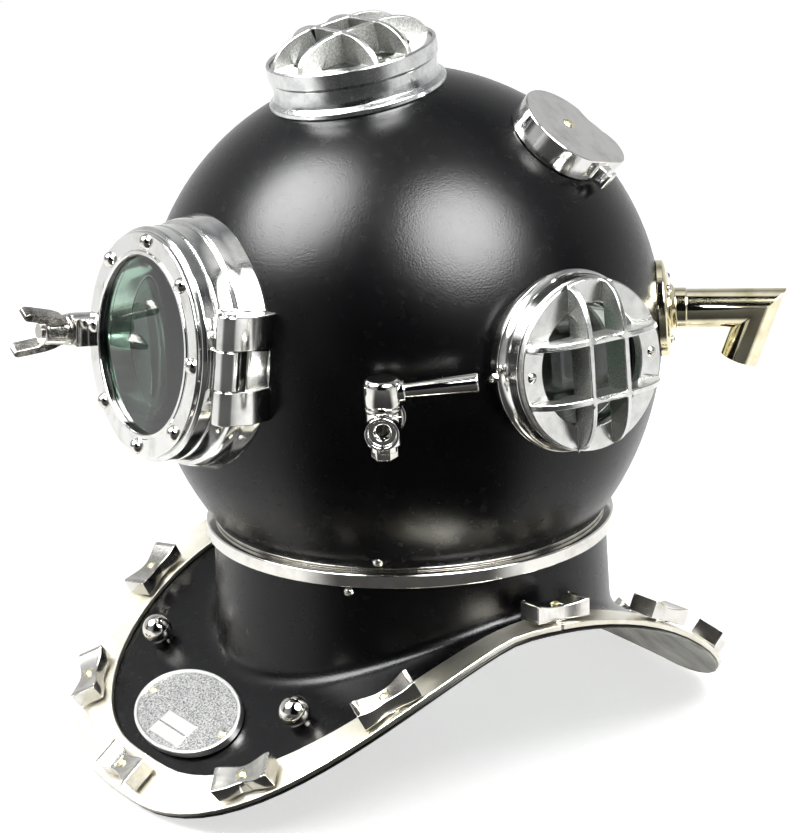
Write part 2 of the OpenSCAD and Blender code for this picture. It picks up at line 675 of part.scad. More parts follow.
wing_nut_z = latch_block_z + 0.2;
wing_nut_h = 18;
wing_reach = 16.5;
wing_w = 9;
wing_turn = -26;
module latch_screw() {
    color(nickel) on_dome(0, front_pitch) translate([latch_x, latch_y, front_joint - latch_deep]) {
        cylinder(r1 = latch_point_r - 1, r2 = latch_point_r, h = 1.01);
        translate([0, 0, 1]) cylinder(r = latch_point_r, h = door_back - front_joint + latch_deep);
        translate([0, 0, latch_deep + door_back - front_joint + 0.5])
            cylinder(r = bolt_r, h = wing_nut_z + wing_nut_h + 2 - door_back - 0.5);
    }
}
module latch_wing_nut() {
    color(nickel) on_dome(0, front_pitch) translate([latch_x, latch_y, wing_nut_z]) difference() {
        union() {
            rotate_extrude() polygon([[0, 0], [9.6, 0], [9.6, 2], [8.6, 3.4], [8, wing_nut_h - 1], [7, wing_nut_h], [0, wing_nut_h]]);
            for (side = [0, 180]) rotate([0, 0, side + 90 + wing_turn]) translate([0, wing_w / 2, 0]) rotate([90, 0, 0])
                linear_extrude(wing_w) polygon([[5.4, 3.5], [8.4, 4], [11, 7.5], [13, 13], [14.4, 20], [15.8, 27],
                    [wing_reach, 31.5], [wing_reach - 1, 34], [wing_reach - 3.4, 34.6], [wing_reach - 5.2, 32.6], [10, 26],
                    [8.6, 19.5], [7.4, 16.5], [5.4, 15]]);
        }
        translate([0, 0, -1]) cylinder(r = bolt_r + 0.02, h = wing_nut_h + 40);
    }
}

// Side and top windows

port_glass_t = 8;
port_rebate_r = guard_view_r + 5.4;
port_gasket_t = 1.5;
guard_t = 4.2;
guard_spigot = 2;
port_stack = guard_spigot + port_gasket_t * 2 + port_glass_t + 0.4;
port_flange_r = guard_r + 3.4;
top_flange_r = guard_r + 4.8;
port_neck_r = guard_r - 3;
port_screw_r = 2;
port_screw_x = (guard_view_r + guard_r) / 2 + 0.6;

function port_flange(face, lip) = face - guard_t - 0.1 - (lip > 0 ? 17.4 : 14.7);
// Seat for a guard whose face is at z = face; lip is the rim that stands round a sunk guard
module port_seat(face, flange_r, lip) {
    z = face - guard_t - 0.1;
    flange = port_flange(face, lip);
    wall = guard_r + (lip > 0 ? 2.6 : 0.7);
    bore = lip > 0 ? guard_r + 0.3 : guard_r - 0.6;
    difference() {
        rotate_extrude() polygon([
            [port_bore_r, root_z], [port_neck_r, root_z], [port_neck_r, flange - 5.4], [flange_r - 1.2, flange - 4.6],
            [flange_r, flange - 3.4], [flange_r, flange - 0.8], [flange_r - 0.8, flange],
            [guard_r + 1.8, flange + 1.6], [guard_r + 0.8, flange + 4.4], [guard_r + 0.7, z - 5], [wall, z - 3.4],
            [wall, z + lip - 0.8], [wall - 0.8, z + lip], [bore, z + lip], [bore, z], [port_rebate_r, z],
            [port_rebate_r, z - port_stack], [port_bore_r, z - port_stack]]);
        for (side = [-1, 1]) translate([side * port_screw_x, 0, z - 6]) cylinder(r = port_screw_r + 0.1, h = 10, $fn = 32);
        if (lip == 0) translate([-flange_r - 10, 0, flange - 2]) rotate([0, 90, 0])
            cylinder(r = 1.6, h = 10 + flange_r - guard_r + 7, $fn = 32);
    }
}
module port_gaskets(face) {
    z = face - guard_t - 0.1;
    for (low = [z - port_stack + 0.05, z - guard_spigot - port_gasket_t - 0.05]) translate([0, 0, low]) difference() {
        cylinder(r = port_rebate_r - 0.3, h = port_gasket_t);
        translate([0, 0, -1]) cylinder(r = port_bore_r + 0.6, h = 4);
    }
}
module port_glass(face) {
    z = face - guard_t - 0.1;
    translate([0, 0, z - port_stack + port_gasket_t + 0.1]) cylinder(r = port_rebate_r - 0.4, h = port_glass_t);
}
bar_flat_r = 19;        // the bars are level out to here, and round down to the rim
bar_end_r = guard_r - 1;
module port_guard(face, rise, bx, by) {
    difference() {
        union() {
            translate([0, 0, face - guard_t]) cylinder(r = guard_r, h = guard_t);
            translate([0, 0, face - guard_t - guard_spigot]) cylinder(r = port_rebate_r - 0.3, h = guard_spigot + 1);
        }
        translate([0, 0, face - 20]) cylinder(r = guard_view_r, h = 40);
        for (side = [-1, 1]) translate([side * port_screw_x, 0, face - 20])
            cylinder(r = port_screw_r + 0.1, h = 40, $fn = 32);
    }
    intersection() {
        translate([0, 0, face]) rotate_extrude() polygon(concat(
            [[0, -1], [bar_end_r, -1]],
            [for (i = [0:10]) [bar_flat_r + (bar_end_r - bar_flat_r) * cos(9 * i), rise * sin(9 * i)]],
            [[0, rise]]));
        translate([0, 0, face - 1]) {
            for (x = [-bx, bx]) translate([x - bar_w / 2, -guard_r, 0]) cube([bar_w, 2 * guard_r, rise + 2]);
            for (y = [-by, by]) translate([-guard_r, y - bar_w / 2, 0]) cube([2 * guard_r, bar_w, rise + 2]);
        }
    }
}

module on_left() { on_dome(side_az, side_pitch) children(); }
module on_right() { on_dome(-side_az, side_pitch) children(); }
module on_top() { on_crown(0, 90 - top_tilt) children(); }
top_lip = guard_t + 2;

module left_port_seat() {
    color(nickel) difference() {
        on_left() port_seat(side_face, port_flange_r, 0);
        dome_form(film);
    }
}
module right_port_seat() {
    color(nickel) difference() {
        on_right() port_seat(side_face, port_flange_r, 0);
        dome_form(film);
    }
}
module top_port_seat() {
    color(aluminium) on_top() difference() {
        port_seat(top_face, top_flange_r, top_lip);
        sphere(bonnet_r + film);
    }
}
module left_port_glass() { color(glass) on_left() port_glass(side_face); }
module right_port_glass() { color(glass) on_right() port_glass(side_face); }
module top_port_glass() { color(glass) on_top() port_glass(top_face); }
module left_port_gaskets() { color(rubber) on_left() port_gaskets(side_face); }
module right_port_gaskets() { color(rubber) on_right() port_gaskets(side_face); }
module top_port_gaskets() { color(rubber) on_top() port_gaskets(top_face); }
module left_port_guard() { color(aluminium) on_left() port_guard(side_face, guard_rise, bar_x, bar_y); }
module right_port_guard() { color(aluminium) on_right() port_guard(side_face, guard_rise, bar_x, bar_y); }
module top_port_guard() { color(aluminium) on_top() port_guard(top_face, top_rise, top_bar_x, top_bar_y); }

module screws_of_port(face, flange_r, lip) {
    for (side = [-1, 1]) translate([side * port_screw_x, 0, face + 0.05]) dome_screw(3.1, 1.4, port_screw_r, 9, 0.8);
    if (lip == 0) translate([-flange_r - 0.3, 0, port_flange(face, lip) - 2]) rotate([0, -90, 0]) {
        cylinder(r = 2.9, h = 3.4, $fn = 6);
        translate([0, 0, -6]) cylinder(r = 1.5, h = 7, $fn = 32);
    }
}
module port_screws() {
    color(nickel) {
        on_left() screws_of_port(side_face, port_flange_r, 0);
        on_right() screws_of_port(side_face, port_flange_r, 0);
        on_top() screws_of_port(top_face, top_flange_r, top_lip);
    }
}

// Telephone cup: a pear-shaped cover over the receiver

cup_big_r = 31;
cup_small_r = 16;
cup_shift = [17, -21];   // from the big round's centre to the small round's
cup_centre = [-2, -1];
cup_face = bonnet_r + 13;
cup_wall = 3;
receiver_r = cup_big_r - 10;
receiver_h = 15.5;
cup_screw_r = 1.9;
cup_lean = asin((cup_big_r - cup_small_r) / norm(cup_shift));
cup_way = atan2(cup_shift[1], cup_shift[0]);
// Outline shrunk by d: two rounds, a straight side and a hollow side
function cup_outline(d) = concat(
    [for (a = [cup_way + 90 - cup_lean + 8 : 6 : cup_way + 270 + cup_lean]) cup_centre + (cup_big_r - d) * [cos(a), sin(a)]],
    [for (a = [cup_way + 270 + cup_lean : 6 : cup_way + 442]) cup_centre + cup_shift + (cup_small_r - d) * [cos(a), sin(a)]],
    [cup_centre + cup_shift * 0.5 + (cup_big_r - d - 3.6) * [cos(cup_way + 76), sin(cup_way + 76)] * 0.81]);
module on_cup() { on_crown(telephone_az, telephone_el) children(); }
module telephone_cup() {
    color(nickel) difference() {
        on_cup() difference() {
            union() {
                translate([0, 0, root_z]) linear_extrude(cup_face - root_z) polygon(cup_outline(0));
                translate([-7, -42, cup_face - 14]) cube([10, 14, 11]);
            }
            translate([0, 0, root_z - 1]) linear_extrude(cup_face - cup_wall - root_z + 1) polygon(cup_outline(cup_wall));
            translate([-8, -39.5, cup_face - 9]) cube([12, 1.4, 30]);
            translate([0, 0, cup_face - 2 * cup_wall]) cylinder(r = cup_screw_r, h = 4 * cup_wall);
        }
        dome_form(film);
    }
}
module telephone_screw() {
    color(brass) on_cup() translate([0, 0, cup_face + 0.05]) dome_screw(4, 1.8, 1.8, 4, 0.9);
}
module telephone_receiver() {
    color(rubber) difference() {
        on_cup() translate([0, 0, bonnet_r - 6]) difference() {
            cylinder(r = receiver_r, h = receiver_h);
            translate([0, 0, receiver_h - 5.5]) cylinder(r = cup_screw_r + 0.7, h = 10);
        }
        dome_form(film);
    }
}

// Goosenecks: pipes that leave the dome level and turn down at a mitred corner

goose_flange_r = 30.4;
goose_flange_z = bonnet_r + 4.5;
goose_screws_n = 4;
goose_pcd = 23;
pipe_tilt = 4.4;          // the pipe leaves its flange a little below the radius
goose_corner = bonnet_r + pipe_reach;

// Two lengths of round bar that meet at the corner, from z = start to the mouth
module mitred(r, start, stop) {
    big = 200;
    intersection() {
        translate([0, 0, start]) cylinder(r = r, h = goose_corner - start + 3 * r);
        translate([0, 0, goose_corner]) rotate([pipe_bend / 2, 0, 0]) translate([-big, -big, -2 * big]) cube(2 * big);
    }
    intersection() {
        translate([0, 0, goose_corner]) rotate([pipe_bend, 0, 0]) translate([0, 0, -3 * r]) cylinder(r = r, h = stop + 3 * r);
        translate([0, 0, goose_corner]) rotate([pipe_bend / 2, 0, 0]) translate([-big, -big, -0.001]) cube(2 * big);
    }
}
module pipe_frame() { translate([0, 0, bonnet_r]) rotate([pipe_tilt, 0, 0]) translate([0, 0, -bonnet_r]) children(); }
module gooseneck() {
    difference() {
        union() {
            rotate_extrude() polygon([[0, root_z], [goose_flange_r, root_z], [goose_flange_r, goose_flange_z - 2.4],
                [goose_flange_r - 1.6, goose_flange_z - 1], [goose_flange_r - 5, goose_flange_z],
                [pipe_r + 4, goose_flange_z + 1.6], [pipe_r + 1.4, goose_flange_z + 4], [0, goose_flange_z + 4]]);
            pipe_frame() {
                translate([0, 0, goose_flange_z + 2]) cylinder(r = pipe_r + 0.8, h = 8.5);
                mitred(pipe_r, goose_flange_z, pipe_drop);
            }
        }
        pipe_frame() {
            mitred(pipe_bore_r, root_z - 1, pipe_drop + 1);
            translate([0, 0, goose_corner]) rotate([pipe_bend, 0, 0]) translate([0, 0, pipe_drop - socket_deep])
                cylinder(r = socket_r, h = socket_deep + 1);
        }
        for (i = [0:goose_screws_n - 1]) rotate([0, 0, 360 * i / goose_screws_n + 45]) {
            translate([goose_pcd, 0, root_z]) cylinder(r = 1.6, h = 2 * (bonnet_r - root_z), $fn = 32);
            translate([goose_pcd, 0, goose_flange_z + 0.3]) cylinder(r = 3.1, h = 4, $fn = 32);
        }
    }
}
module on_air() { on_dome(air_az, goose_el) children(); }
module on_telephone() { on_dome(-air_az, goose_el) children(); }
module air_gooseneck() {
    color(warm_nickel) difference() {
        on_air() {
            gooseneck();
            pipe_frame() spring_rest();
        }
        dome_form(film);
    }
}
module telephone_gooseneck() { color(warm_nickel) difference() { on_telephone() gooseneck(); dome_form(film); } }
module goose_screw_ring() {
    for (i = [0:goose_screws_n - 1]) rotate([0, 0, 360 * i / goose_screws_n + 45]) translate([goose_pcd, 0, goose_flange_z + 0.4])
        dome_screw(2.7, 2, 1.5, 5.5, 0);
}
module gooseneck_screws() {
    color(nickel) {
        on_air() goose_screw_ring();
        on_telephone() goose_screw_ring();
    }
}

// Non-return valve in the air gooseneck: a disc that a light spring holds on its seat
valve_seat_z = bonnet_r + 34;
// Plate with air holes across the pipe's bore, which the spring stands on
module spring_rest() {
    translate([0, 0, valve_seat_z - 16.8]) difference() {
        cylinder(r = pipe_bore_r + 0.5, h = 2);
        translate([0, 0, -1]) cylinder(r = 1.7, h = 4);
        for (i = [0:4]) rotate([0, 0, 72 * i]) translate([5.7, 0, -1]) cylinder(r = 1.6, h = 4, $fn = 32);
    }
}
module inlet_valve_seat() {
    color(brass) on_air() pipe_frame() translate([0, 0, valve_seat_z]) difference() {
        cylinder(r = pipe_bore_r - 0.1, h = 5);
        translate([0, 0, -1]) cylinder(r = 4.2, h = 8);
    }
}
module inlet_valve_disc() {
    color(brass) on_air() pipe_frame() {
        translate([0, 0, valve_seat_z - 2.3]) cylinder(r = 6, h = 2.2);
        translate([0, 0, valve_seat_z - 12]) cylinder(r = 1.3, h = 10);
    }
}
module coil(r, wire, turns, length) {
    steps = turns * 14;
    skin([for (i = [0:steps]) let (a = 360 * turns * i / steps, z = length * i / steps)
        [for (k = [0:5]) let (b = 60 * k) [(r + wire * cos(b)) * cos(a), (r + wire * cos(b)) * sin(a), z + wire * sin(b)]]], false);
}
module inlet_valve_spring() {
    color(brass) on_air() pipe_frame() translate([0, 0, valve_seat_z - 14.2]) coil(3.2, 0.5, 4, 11.2);
}

// Spitcock: a body with a round mouth, and a plug that its lever turns

spit_bore_r = 5;
plug_out = bonnet_r + 21;
plug_r = 10.8;
plug_core_r = 7.4;
plug_foot = -spit_r - 8.4;
plug_head = spit_r + 0.2;
cap_h = 19;
module on_spit() { on_dome(spit_az, spit_el) children(); }
module spitcock_body() {
    color(nickel) difference() {
        on_spit() difference() {
            union() {
                translate([0, 0, root_z]) cylinder(r = spit_r + 1.8, h = bonnet_r + 3 - root_z);
                translate([0, 0, root_z]) cylinder(r = spit_r, h = spit_reach - root_z);
                translate([0, spit_r, plug_out]) rotate([90, 0, 0]) cylinder(r = plug_core_r + 2.6, h = 2 * spit_r);
            }
            translate([0, 0, root_z - 1]) cylinder(r = spit_bore_r, h = spit_reach);
            translate([0, 0, spit_reach - 4]) cylinder(r = spit_r - 1.7, h = 10);
            translate([0, 0, plug_out]) rotate([90, 0, 0]) cylinder(r = plug_core_r + running, h = 4 * spit_r, center = true);
        }
        dome_form(film);
    }
}
module spitcock_plug() {
    color(nickel) on_spit() translate([0, 0, plug_out]) rotate([-90, 0, 0]) {
        difference() {
            translate([0, 0, plug_foot + 4]) cylinder(r = plug_core_r, h = plug_head - plug_foot);
            rotate([90, 0, 0]) cylinder(r = spit_bore_r - 1, h = 40, center = true);
        }
        rotate_extrude() polygon([[0, plug_head], [plug_r - 1, plug_head], [plug_r, plug_head + 1.4], [plug_r, plug_head + 3],
            [plug_r - 0.6, plug_head + 4], [plug_r, plug_head + 5], [plug_r, plug_head + cap_h - 3],
            [plug_r - 0.7, plug_head + cap_h - 1.2], [plug_r - 2.2, plug_head + cap_h], [0, plug_head + cap_h]]);
        translate([0, 0, plug_foot]) cylinder(r = 7.6, h = 8.2, $fn = 6);
        translate([0, 0, plug_head + 10.4]) rotate([0, 90 - 6, 0]) {
            translate([0, 0, 8]) cylinder(r = 6.2, h = 5);
            rotate_extrude() polygon([[0, 8], [4.2, 12], [5.4, spit_lever - 1], [4.8, spit_lever], [0, spit_lever]]);
        }
    }
}

// Exhaust valve on the diver's right: body with outlet slots, hand wheel, spring and chin button

exhaust_bore_r = 13;
exhaust_top = bonnet_r + 26;
stem_r = 3;
module on_exhaust() { on_dome(exhaust_az, exhaust_el) children(); }
module exhaust_body() {
    color(nickel) difference() {
        on_exhaust() difference() {
            rotate_extrude() polygon([[0, root_z], [exhaust_r + 7, root_z], [exhaust_r + 7, bonnet_r + 4], [exhaust_r + 5.6, bonnet_r + 5.4],
                [exhaust_r, bonnet_r + 6], [exhaust_r, exhaust_top - 2], [exhaust_r - 2, exhaust_top], [0, exhaust_top]]);
            translate([0, 0, root_z - 1]) cylinder(r = exhaust_bore_r, h = bonnet_r + 7 - root_z);
            translate([0, 0, bonnet_r + 6]) cylinder(r = exhaust_r - 4, h = exhaust_top - bonnet_r - 9);
            translate([0, 0, root_z - 1]) cylinder(r = stem_r + running, h = bonnet_r);
            for (i = [0:5]) rotate([0, 0, 60 * i]) translate([-3.5, 0, bonnet_r + 10]) cube([7, exhaust_r + 5, 9]);
            for (i = [0:5]) rotate([0, 0, 60 * i + 30]) translate([exhaust_r + 3.4, 0, root_z])
                cylinder(r = 1.6, h = 2 * (bonnet_r - root_z), $fn = 32);
        }
        dome_form(film);
    }
}
module exhaust_screws() {
    color(nickel) on_exhaust() for (i = [0:5]) rotate([0, 0, 60 * i + 30])
        translate([exhaust_r + 3.4, 0, bonnet_r + 6]) dome_screw(2.6, 1.8, 1.5, 3.6, 0);
}
module exhaust_wheel() {
    color(nickel) on_exhaust() translate([0, 0, exhaust_top]) {
        difference() {
            translate([0, 0, 0.4]) cylinder(r = exhaust_r - 2, h = 11);
            for (i = [0:7]) rotate([0, 0, 45 * i]) translate([exhaust_r + 1, 0, -1]) cylinder(r = 5, h = 20, $fn = 32);
        }
        translate([0, 0, -2.9]) cylinder(r = stem_r, h = 4);
    }
}
module exhaust_chin_button() {
    color(brass) on_exhaust() {
        translate([0, 0, bonnet_r - 24]) cylinder(r = 15, h = 4);
        translate([0, 0, bonnet_r - 21]) cylinder(r = stem_r, h = 32);
        translate([0, 0, bonnet_r + 6.3]) cylinder(r = exhaust_bore_r + 4, h = 2.4);
    }
}
module exhaust_spring() {
    color(brass) on_exhaust() translate([0, 0, bonnet_r + 9.6]) coil(8, 0.7, 3.5, exhaust_top - bonnet_r - 14);
}

breastplate();
neck_ring();
neck_gasket();
brail_front_left();
brail_front_right();
brail_back_left();
brail_back_right();
brail_studs();
brail_nuts();
brail_nut_screws();
ball_studs();
oval_plate();
oval_plate_screws();
neck_screw();
lock_bracket();
bonnet_shell();
bonnet_ring();
bonnet_screw();
front_seat();
hinge_pin();
left_port_seat();
right_port_seat();
top_port_seat();
left_port_glass();
right_port_glass();
top_port_glass();
left_port_gaskets();
right_port_gaskets();
top_port_gaskets();
left_port_guard();
right_port_guard();
top_port_guard();
port_screws();
telephone_cup();
telephone_screw();
telephone_receiver();
air_gooseneck();
telephone_gooseneck();
gooseneck_screws();
inlet_valve_seat();
inlet_valve_spring();
spitcock_body();
exhaust_body();
exhaust_screws();
exhaust_spring();
door_frame();
door_gasket();
front_glass();
front_glass_gasket();
front_bezel();
bezel_screws();
latch_screw();
latch_wing_nut();
spitcock_plug();
exhaust_wheel();
exhaust_chin_button();
inlet_valve_disc();
lock_lever();
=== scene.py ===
import json
import math

import bmesh
import bpy
from mathutils import Matrix, Vector

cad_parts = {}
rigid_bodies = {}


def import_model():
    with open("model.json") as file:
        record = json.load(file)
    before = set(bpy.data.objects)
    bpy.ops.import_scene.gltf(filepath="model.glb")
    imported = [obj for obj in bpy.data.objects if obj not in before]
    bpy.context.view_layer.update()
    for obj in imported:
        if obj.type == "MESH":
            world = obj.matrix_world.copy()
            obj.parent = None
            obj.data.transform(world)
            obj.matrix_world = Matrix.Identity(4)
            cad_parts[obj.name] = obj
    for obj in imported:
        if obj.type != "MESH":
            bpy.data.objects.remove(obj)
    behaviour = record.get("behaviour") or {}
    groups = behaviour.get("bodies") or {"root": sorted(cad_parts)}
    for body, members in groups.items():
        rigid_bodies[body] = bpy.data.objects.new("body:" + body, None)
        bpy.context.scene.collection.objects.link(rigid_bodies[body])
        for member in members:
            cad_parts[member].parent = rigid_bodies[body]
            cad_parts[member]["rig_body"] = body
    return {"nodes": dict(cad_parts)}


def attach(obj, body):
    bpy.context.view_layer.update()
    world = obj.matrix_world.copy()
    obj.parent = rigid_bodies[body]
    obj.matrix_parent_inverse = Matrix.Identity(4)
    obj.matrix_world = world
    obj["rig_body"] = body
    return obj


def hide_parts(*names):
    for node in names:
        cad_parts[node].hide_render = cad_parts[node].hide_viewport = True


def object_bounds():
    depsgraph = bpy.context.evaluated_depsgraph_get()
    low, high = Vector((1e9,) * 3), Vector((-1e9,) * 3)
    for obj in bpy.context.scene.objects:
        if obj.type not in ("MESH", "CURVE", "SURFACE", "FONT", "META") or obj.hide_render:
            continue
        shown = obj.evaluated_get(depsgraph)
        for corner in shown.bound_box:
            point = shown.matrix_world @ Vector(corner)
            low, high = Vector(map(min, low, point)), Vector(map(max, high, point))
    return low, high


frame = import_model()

cad_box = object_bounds()
mm = 0.001

# Camera and room. The helmet stands on a white paper sweep and is seen from its left front, a little from
# above, with a long lens. Its polished metal mirrors a white backdrop, a grey room with a dark side where the
# camera stands, a few dark flags, two large soft boxes, and the sweep, bright behind and dim in front.
eye = Vector((1353.3, -879.9, 541.6)) * mm
look = Vector((-0.80539, 0.51926, -0.28585))
roll = math.radians(-1.91)
sensor_width = 36
focal_length = 119.6

camera = bpy.data.objects.new("camera", bpy.data.cameras.new("camera"))
bpy.context.scene.collection.objects.link(camera)
camera.location = eye
turned = look.to_track_quat("-Z", "Y") @ Matrix.Rotation(roll, 3, "Z").to_quaternion()
camera.rotation_euler = turned.to_euler()
camera.data.sensor_fit = "HORIZONTAL"
camera.data.sensor_width = sensor_width
camera.data.lens = focal_length
bpy.context.scene.camera = camera
bpy.context.scene.view_settings.view_transform = "Standard"


def add(tree, kind, inputs=None, stops=None, **settings):
    """Adds a node with its settings, and fills each input with a value or a link from another node."""
    new = tree.nodes.new(kind)
    for name, value in settings.items():
        setattr(new, name, value)
    for name, value in (inputs or {}).items():
        if isinstance(value, bpy.types.NodeSocket):
            tree.links.new(value, new.inputs[name])
        else:
            new.inputs[name].default_value = value
    for place, colour in stops or []:
        point = new.color_ramp.elements.new(place)
        point.color = linear(colour)
    if stops:
        new.color_ramp.elements.remove(new.color_ramp.elements[0])
        new.color_ramp.elements.remove(new.color_ramp.elements[-1])
    return new


def linear(colour):
    """An sRGB hex colour, such as "#c8c4b8", as linear red, green, blue and a full alpha."""
    parts = [int(colour[i:i + 2], 16) / 255 for i in (1, 3, 5)]
    return [v / 12.92 if v <= 0.04045 else ((v + 0.055) / 1.055) ** 2.4 for v in parts] + [1.0]


def towards(azimuth, elevation):
    """The direction at an azimuth from +X and an elevation, in degrees."""
    a, e = math.radians(azimuth), math.radians(elevation)
    return Vector((math.cos(e) * math.cos(a), math.cos(e) * math.sin(a), math.sin(e)))


# Each soft box: azimuth, elevation, half angle and brightness of its mirror image, and watts of its lamp
soft_boxes = [("right_soft_box", 7, 50, 24, 34.0, 14.0), ("left_soft_box", -112, 52, 24, 30.0, 12.0)]
box_size = 0.7
box_distance = 1.9
box_aim = Vector((0, 0, 0.12))

world = bpy.data.worlds.new("studio")
world.use_nodes = True
bpy.context.scene.world = world
tree = world.node_tree
tree.nodes.clear()
direction = add(tree, "ShaderNodeTexCoord").outputs["Generated"]
parts = add(tree, "ShaderNodeSeparateXYZ", {"Vector": direction})
height = add(tree, "ShaderNodeMapRange", {"Value": parts.outputs["Z"], "From Min": -1.0, "From Max": 1.0})
# From the floor up to the ceiling
walls = add(tree, "ShaderNodeValToRGB", {"Fac": height.outputs["Result"]}, [
    (0.0, "#e6e6e6"), (0.5, "#f4f4f4"), (0.62, "#d8d8d8"), (0.78, "#c0c1c3"), (0.90, "#808286"),
    (1.0, "#46484c")])
turn = add(tree, "ShaderNodeMath", {0: parts.outputs["Y"], 1: parts.outputs["X"]}, operation="ARCTAN2")
turn = add(tree, "ShaderNodeMapRange", {
    "Value": turn.outputs["Value"], "From Min": -math.pi, "From Max": math.pi})
# Once round the room, from -X by the front of the helmet and its left side to its back
flags = add(tree, "ShaderNodeValToRGB", {"Fac": turn.outputs["Result"]}, [
    (0.0, "#ffffff"), (0.12, "#ffffff"), (0.15, "#55575b"), (0.175, "#55575b"), (0.20, "#d8d8d8"),
    (0.30, "#b4b5b7"), (0.345, "#141416"), (0.47, "#141416"), (0.51, "#c8c9ca"),
    (0.61, "#f4f4f4"), (0.632, "#505256"), (0.652, "#505256"), (0.69, "#ffffff"), (1.0, "#ffffff")])
room = add(tree, "ShaderNodeMix", {0: 1.0, 6: walls.outputs["Color"], 7: flags.outputs["Color"]},
           data_type="RGBA", blend_type="MULTIPLY").outputs[2]
for name, azimuth, elevation, half, bright, watts in soft_boxes:
    way = towards(azimuth, elevation)
    nearness = add(tree, "ShaderNodeVectorMath", {0: direction, 1: way}, operation="DOT_PRODUCT")
    lit = add(tree, "ShaderNodeMapRange", {
        "Value": nearness.outputs["Value"], "From Min": math.cos(math.radians(half)),
        "From Max": math.cos(math.radians(half * 0.72))}, interpolation_type="SMOOTHSTEP")
    room = add(tree, "ShaderNodeMix", {0: lit.outputs["Result"], 6: room, 7: (bright, bright, bright, 1.0)},
               data_type="RGBA").outputs[2]
    lamp = bpy.data.lights.new(name, "AREA")
    lamp.shape = "SQUARE"
    lamp.size = box_size
    lamp.energy = watts
    holder = bpy.data.objects.new(name, lamp)
    bpy.context.scene.collection.objects.link(holder)
    holder.location = way * box_distance + box_aim
    holder.rotation_euler = way.to_track_quat("Z", "Y").to_euler()

# Mirrors and glass show the room, the camera sees plain white, and all else is lit by an even grey
rays = add(tree, "ShaderNodeLightPath")
mirrored = add(tree, "ShaderNodeMath", {
    0: rays.outputs["Is Glossy Ray"], 1: rays.outputs["Is Transmission Ray"]}, operation="MAXIMUM")
seen = add(tree, "ShaderNodeMix", {
    0: mirrored.outputs["Value"], 6: linear("#9a9a9a"), 7: room}, data_type="RGBA")
seen = add(tree, "ShaderNodeMix", {
    0: rays.outputs["Is Camera Ray"], 6: seen.outputs[2], 7: (1, 1, 1, 1)}, data_type="RGBA")
background = add(tree, "ShaderNodeBackground", {"Color": seen.outputs[2], "Strength": 1.0})
add(tree, "ShaderNodeOutputWorld", {"Surface": background.outputs["Background"]})

# The sweep glows for the camera and in mirrors, but there not on the side where the camera stands
floor_size = 12
floor_gap = 0.2 * mm
floor_glow = 0.62
bpy.ops.mesh.primitive_plane_add(size=floor_size, location=(0, 0, cad_box[0][2] - floor_gap))
floor = bpy.context.object
floor.name = "floor"
paper = bpy.data.materials.new("white_paper_sweep")
paper.use_nodes = True
tree = paper.node_tree
shader = tree.nodes["Principled BSDF"]
shader.inputs["Roughness"].default_value = 0.9
shader.inputs["Specular IOR Level"].default_value = 0.1
spot = add(tree, "ShaderNodeTexCoord").outputs["Object"]
way = add(tree, "ShaderNodeVectorMath", {0: spot}, operation="NORMALIZE")
nearside = add(tree, "ShaderNodeVectorMath", {
    0: way.outputs["Vector"], 1: Vector((-look.x, -look.y, 0)).normalized()}, operation="DOT_PRODUCT")
fall = add(tree, "ShaderNodeMapRange", {
    "Value": nearside.outputs["Value"], "From Min": 0.82, "From Max": 0.5}, interpolation_type="SMOOTHSTEP")
rays = add(tree, "ShaderNodeLightPath")
lit = add(tree, "ShaderNodeMix", {0: rays.outputs["Is Glossy Ray"], 2: 1.0, 3: fall.outputs["Result"]})
# Painted shade: in mirrors, on the camera's side, the white paper is coloured dark grey
paper_and_mirrored_shade = add(tree, "ShaderNodeMix", {
    0: lit.outputs[0], 6: linear("#3a3a3a"), 7: linear("#f2f2f2")}, data_type="RGBA")
tree.links.new(paper_and_mirrored_shade.outputs[2], shader.inputs["Base Color"])
direct = add(tree, "ShaderNodeMath", {
    0: rays.outputs["Is Camera Ray"], 1: rays.outputs["Is Glossy Ray"]}, operation="MAXIMUM")
strength = add(tree, "ShaderNodeMath", {0: direct.outputs["Value"], 1: lit.outputs[0]}, operation="MULTIPLY")
strength = add(tree, "ShaderNodeMath", {0: strength.outputs["Value"], 1: floor_glow}, operation="MULTIPLY")
glow = add(tree, "ShaderNodeEmission", {"Color": (1, 1, 1, 1), "Strength": strength.outputs["Value"]})
shown = add(tree, "ShaderNodeAddShader", {0: shader.outputs["BSDF"], 1: glow.outputs["Emission"]})
tree.links.new(shown.outputs["Shader"], tree.nodes["Material Output"].inputs["Surface"])
floor.data.materials.append(paper)

# Breastplate. A collar beaten from sheet copper, with its neck drawn up out of it, sprayed satin black. The
# paint has the fine orange peel of a spray gun. Inside, the copper is tinned, dull and grey.


